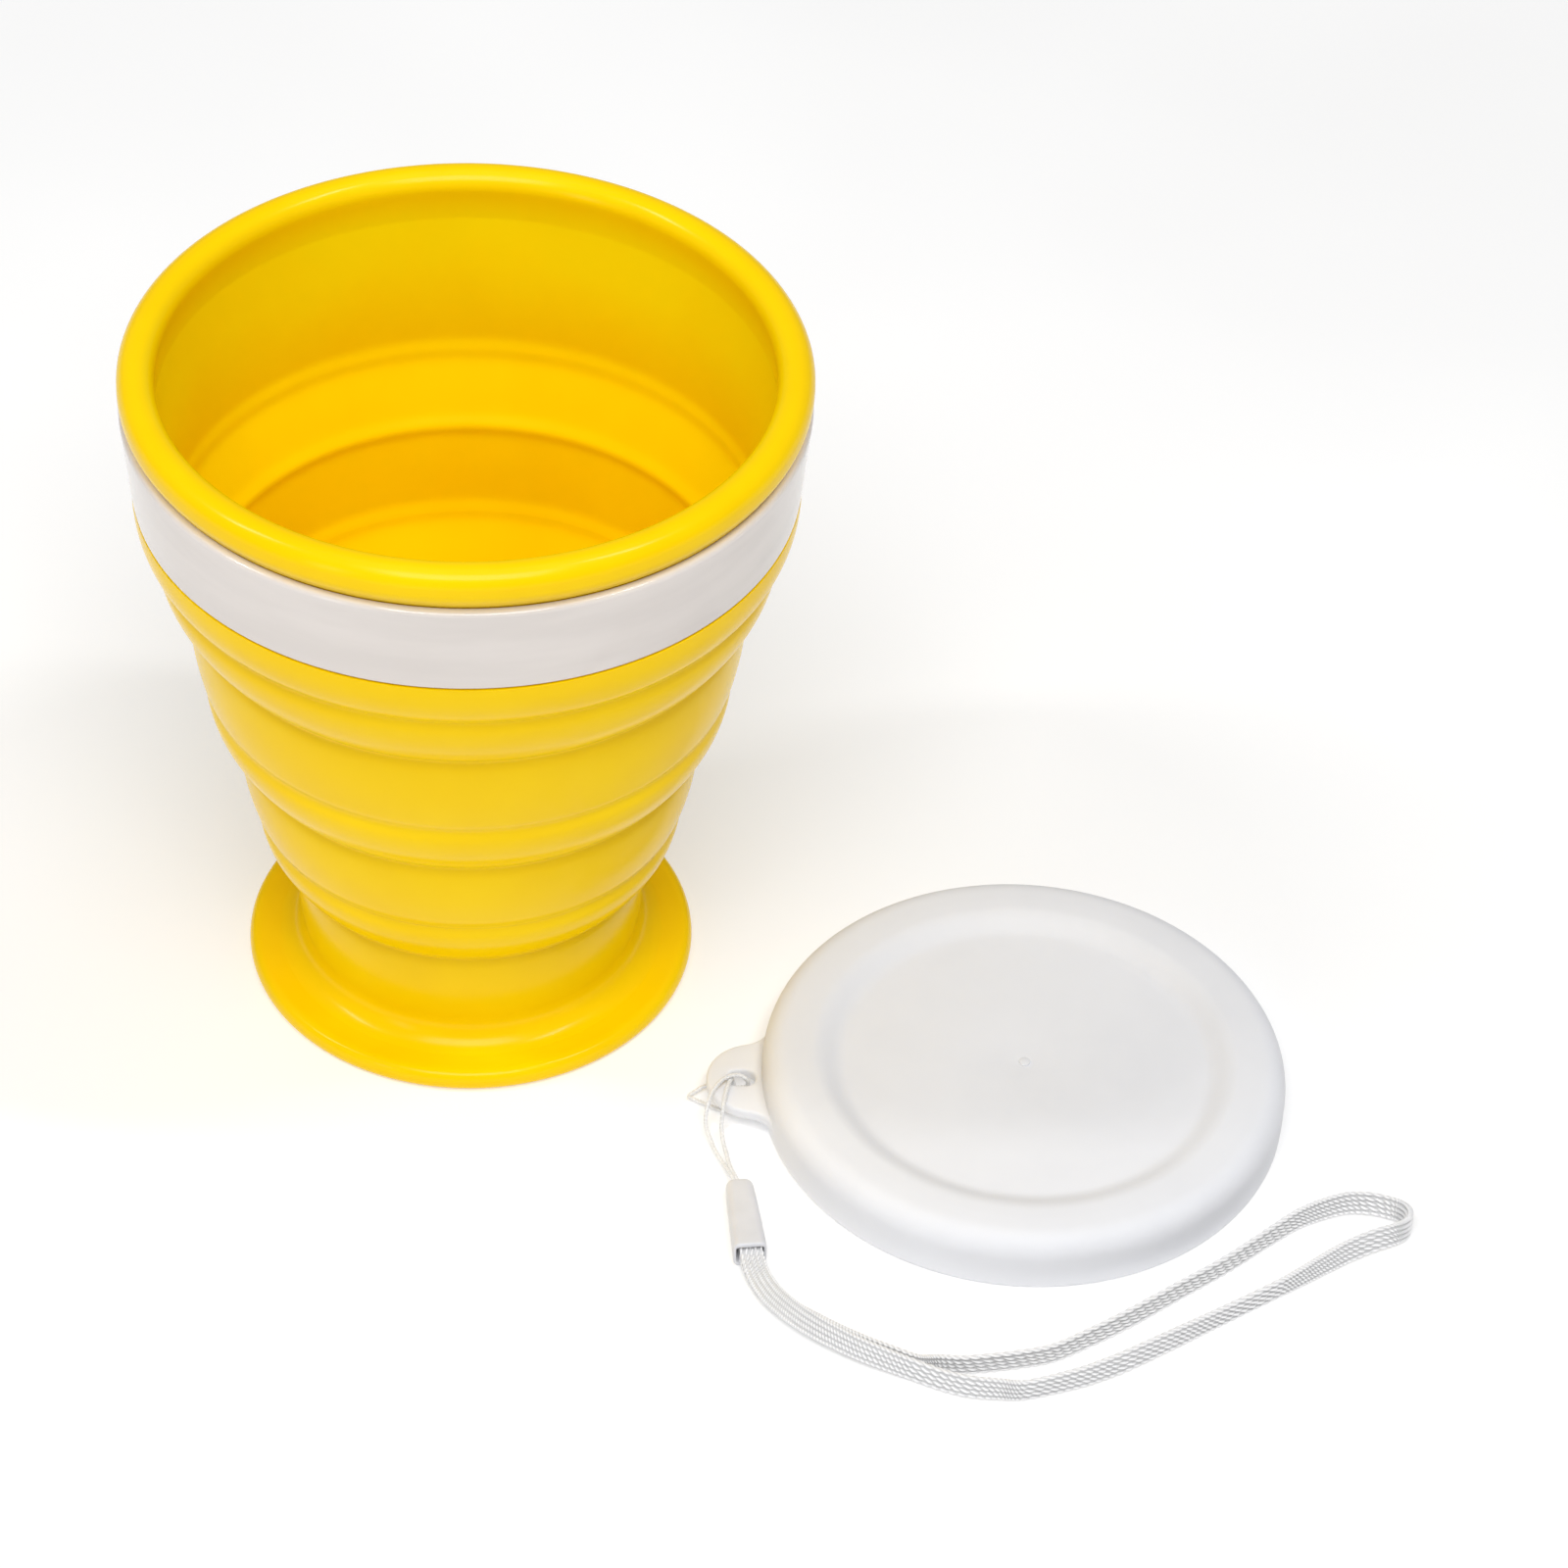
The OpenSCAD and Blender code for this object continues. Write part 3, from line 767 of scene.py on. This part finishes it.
def clip_material():
    """Satin white plastic with a fine grain."""
    mat, tree, shader = node_material("clip_white")
    tone = ramp(tree, noise(tree, 120, 3, 0.6),
                [(0.3, lin(217, 218, 223)), (0.7, lin(226, 227, 232))])
    tree.links.new(tone, shader.inputs["Base Color"])
    tree.links.new(spread(tree, noise(tree, 700, 3, 0.6), 0.3, 0.7, 0.34, 0.48),
                   shader.inputs["Roughness"])
    bump(tree, shader, noise(tree, 5000, 2, 0.5), 0.008, 0.5)
    return mat


def string_material():
    """White nylon string with fine filaments along it."""
    mat, tree, shader = node_material("string_nylon")
    tone = ramp(tree, noise(tree, 3500, 2, 0.5),
                [(0.3, lin(222, 222, 222)), (0.7, lin(240, 240, 240))])
    tree.links.new(tone, shader.inputs["Base Color"])
    tree.links.new(spread(tree, noise(tree, 1800, 2, 0.5), 0.3, 0.7, 0.4, 0.6),
                   shader.inputs["Roughness"])
    bump(tree, shader, noise(tree, 9000, 2, 0.5), 0.02, 0.6)
    shader.inputs["Sheen Weight"].default_value = 0.2
    return mat


def strap_material():
    """White nylon braid with painted shade: the colour is darker between the stitches, where shade falls,
    and lighter on their crowns; a slight silky sheen.
    """
    mat, tree, shader = node_material("strap_nylon")
    height = tree.nodes.new("ShaderNodeAttribute")
    height.attribute_name = "stitch_height_painted_shade"
    # painted shade: darker where plies meet, lighter at their crowns
    tone = ramp(tree, height.outputs["Fac"],
                [(0.3, lin(214, 214, 215)), (0.8, lin(249, 249, 250))])
    tree.links.new(tone, shader.inputs["Base Color"])
    tree.links.new(spread(tree, noise(tree, 2500, 2, 0.5), 0.3, 0.7, 0.32, 0.5),
                   shader.inputs["Roughness"])
    bump(tree, shader, noise(tree, 7000, 2, 0.6), 0.03, 0.7)
    shader.inputs["Sheen Weight"].default_value = 0.25
    return mat


def floor_material():
    """White paper with faint clouds of tone; its own faint glow keeps it white far from the lamps."""
    mat, tree, shader = node_material("paper_white")
    tone = ramp(tree, noise(tree, 8, 2, 0.5),
                [(0.3, lin(214, 214, 214)), (0.7, lin(220, 220, 220))])
    tree.links.new(tone, shader.inputs["Base Color"])
    shader.inputs["Roughness"].default_value = 0.9
    shader.inputs["Specular IOR Level"].default_value = 0.0
    shader.inputs["Emission Color"].default_value = (1, 1, 1, 1)
    shader.inputs["Emission Strength"].default_value = 0.33
    return mat


def dress(obj, mat):
    """Gives a piece its material and the slot that it fills."""
    obj.data.materials.clear()
    obj.data.materials.append(mat)


# Heights up the cup, and at each how much painted light there is: a lighter yellow on the interior walls,
# strongest just under the rim, where light falls into the cup
PAINTED_INTERIOR_LIGHT = ((60, 72, 84, 91, 94), (0.2, 0.35, 1, 1, 0.25))


def mark_inside(obj):
    """Stores on each vertex its share of painted light, a lighter yellow on the interior walls; faces that
    look outwards get none.
    """
    verts = obj.data.vertices
    at, normal = np.empty(len(verts) * 3), np.empty(len(verts) * 3)
    verts.foreach_get("co", at)
    verts.foreach_get("normal", normal)
    height = at.reshape(-1, 3)[:, 2] / MM
    at, normal = at.reshape(-1, 3)[:, :2], normal.reshape(-1, 3)[:, :2]   # in plan from here on
    inwards = -np.sum(at * normal, axis=1) / np.maximum(np.linalg.norm(at, axis=1), 1e-6)
    share = np.interp(height, *PAINTED_INTERIOR_LIGHT) * np.clip((inwards - 0.1) / 0.5, 0, 1)
    layer = obj.data.attributes.new("inside", "FLOAT", "POINT")
    layer.data.foreach_set("value", share.astype(np.float32))


silicone = silicone_material()
# painted light: each silicone piece stores its share of the lighter interior yellow
for piece in cup.values():
    mark_inside(piece)
    dress(piece, silicone)
dress(band, band_material())
dress(lid, lid_material())
dress(clip_piece, clip_material())
dress(string_piece, string_material())
dress(strap_piece, strap_material())


# ---------------------------------------------------------------- what moves with what

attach(cup["cup_foot"], "foot")
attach(cup["cup_tier_low"], "lower_tier")
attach(cup["cup_tier_mid"], "middle_tier")
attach(cup["cup_tier_top"], "top_tier")
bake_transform(cup["cup_web_low"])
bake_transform(cup["cup_web_mid"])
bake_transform(cup["cup_web_high"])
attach(band, "top_tier")
for piece in (lid, clip_piece, string_piece, strap_piece):
    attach(piece, "lid")

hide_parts("foot")
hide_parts("lower_web")
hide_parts("lower_tier")
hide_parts("middle_web")
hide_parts("middle_tier")
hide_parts("upper_web")
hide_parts("top_tier")
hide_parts("rim_band")
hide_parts("lid")
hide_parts("strap_clip")
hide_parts("string_loop")
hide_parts("wrist_strap")


# ---------------------------------------------------------------- floor and light

def make_floor():
    """A wide floor just under the part."""
    half, drop = 6, 0.00002
    data = bpy.data.meshes.new("floor")
    data.from_pydata([(-half, -half, 0), (half, -half, 0), (half, half, 0), (-half, half, 0)],
                     [], [(0, 1, 2, 3)])
    floor = bpy.data.objects.new("floor", data)
    bpy.context.scene.collection.objects.link(floor)
    floor.location.z = -drop
    floor.data.materials.append(floor_material())


def softbox(name, at, size, power, aim=(0.02, -0.01, 0.06)):
    """A rectangular soft light in metres and watts, turned towards the part."""
    data = bpy.data.lights.new(name, "AREA")
    data.shape = "RECTANGLE"
    data.size, data.size_y = size
    data.energy = power
    lamp = bpy.data.objects.new(name, data)
    lamp.location = at
    lamp.rotation_euler = (Vector(aim) - Vector(at)).to_track_quat("-Z", "Y").to_euler()
    bpy.context.scene.collection.objects.link(lamp)


make_floor()
softbox("front_box", (0.04, -0.74, 1.28), (0.9, 0.7), 13.5)
softbox("top_box", (0.02, 0.1, 1.5), (0.9, 0.9), 1.6)
softbox("left_box", (-0.78, -0.08, 1.0), (0.07, 0.3), 2.4)
softbox("right_box", (0.56, -0.08, 1.2), (0.07, 0.3), 2.6)
softbox("low_left_box", (-0.75, -1.0, 0.42), (0.16, 0.5), 0.8)

world = bpy.data.worlds.new("world")
bpy.context.scene.world = world
world.use_nodes = True
background = world.node_tree.nodes["Background"]
background.inputs["Color"].default_value = (1, 1, 1, 1)
background.inputs["Strength"].default_value = 0.2
bpy.context.scene.view_settings.view_transform = "Standard"
bpy.context.scene.view_settings.look = "None"
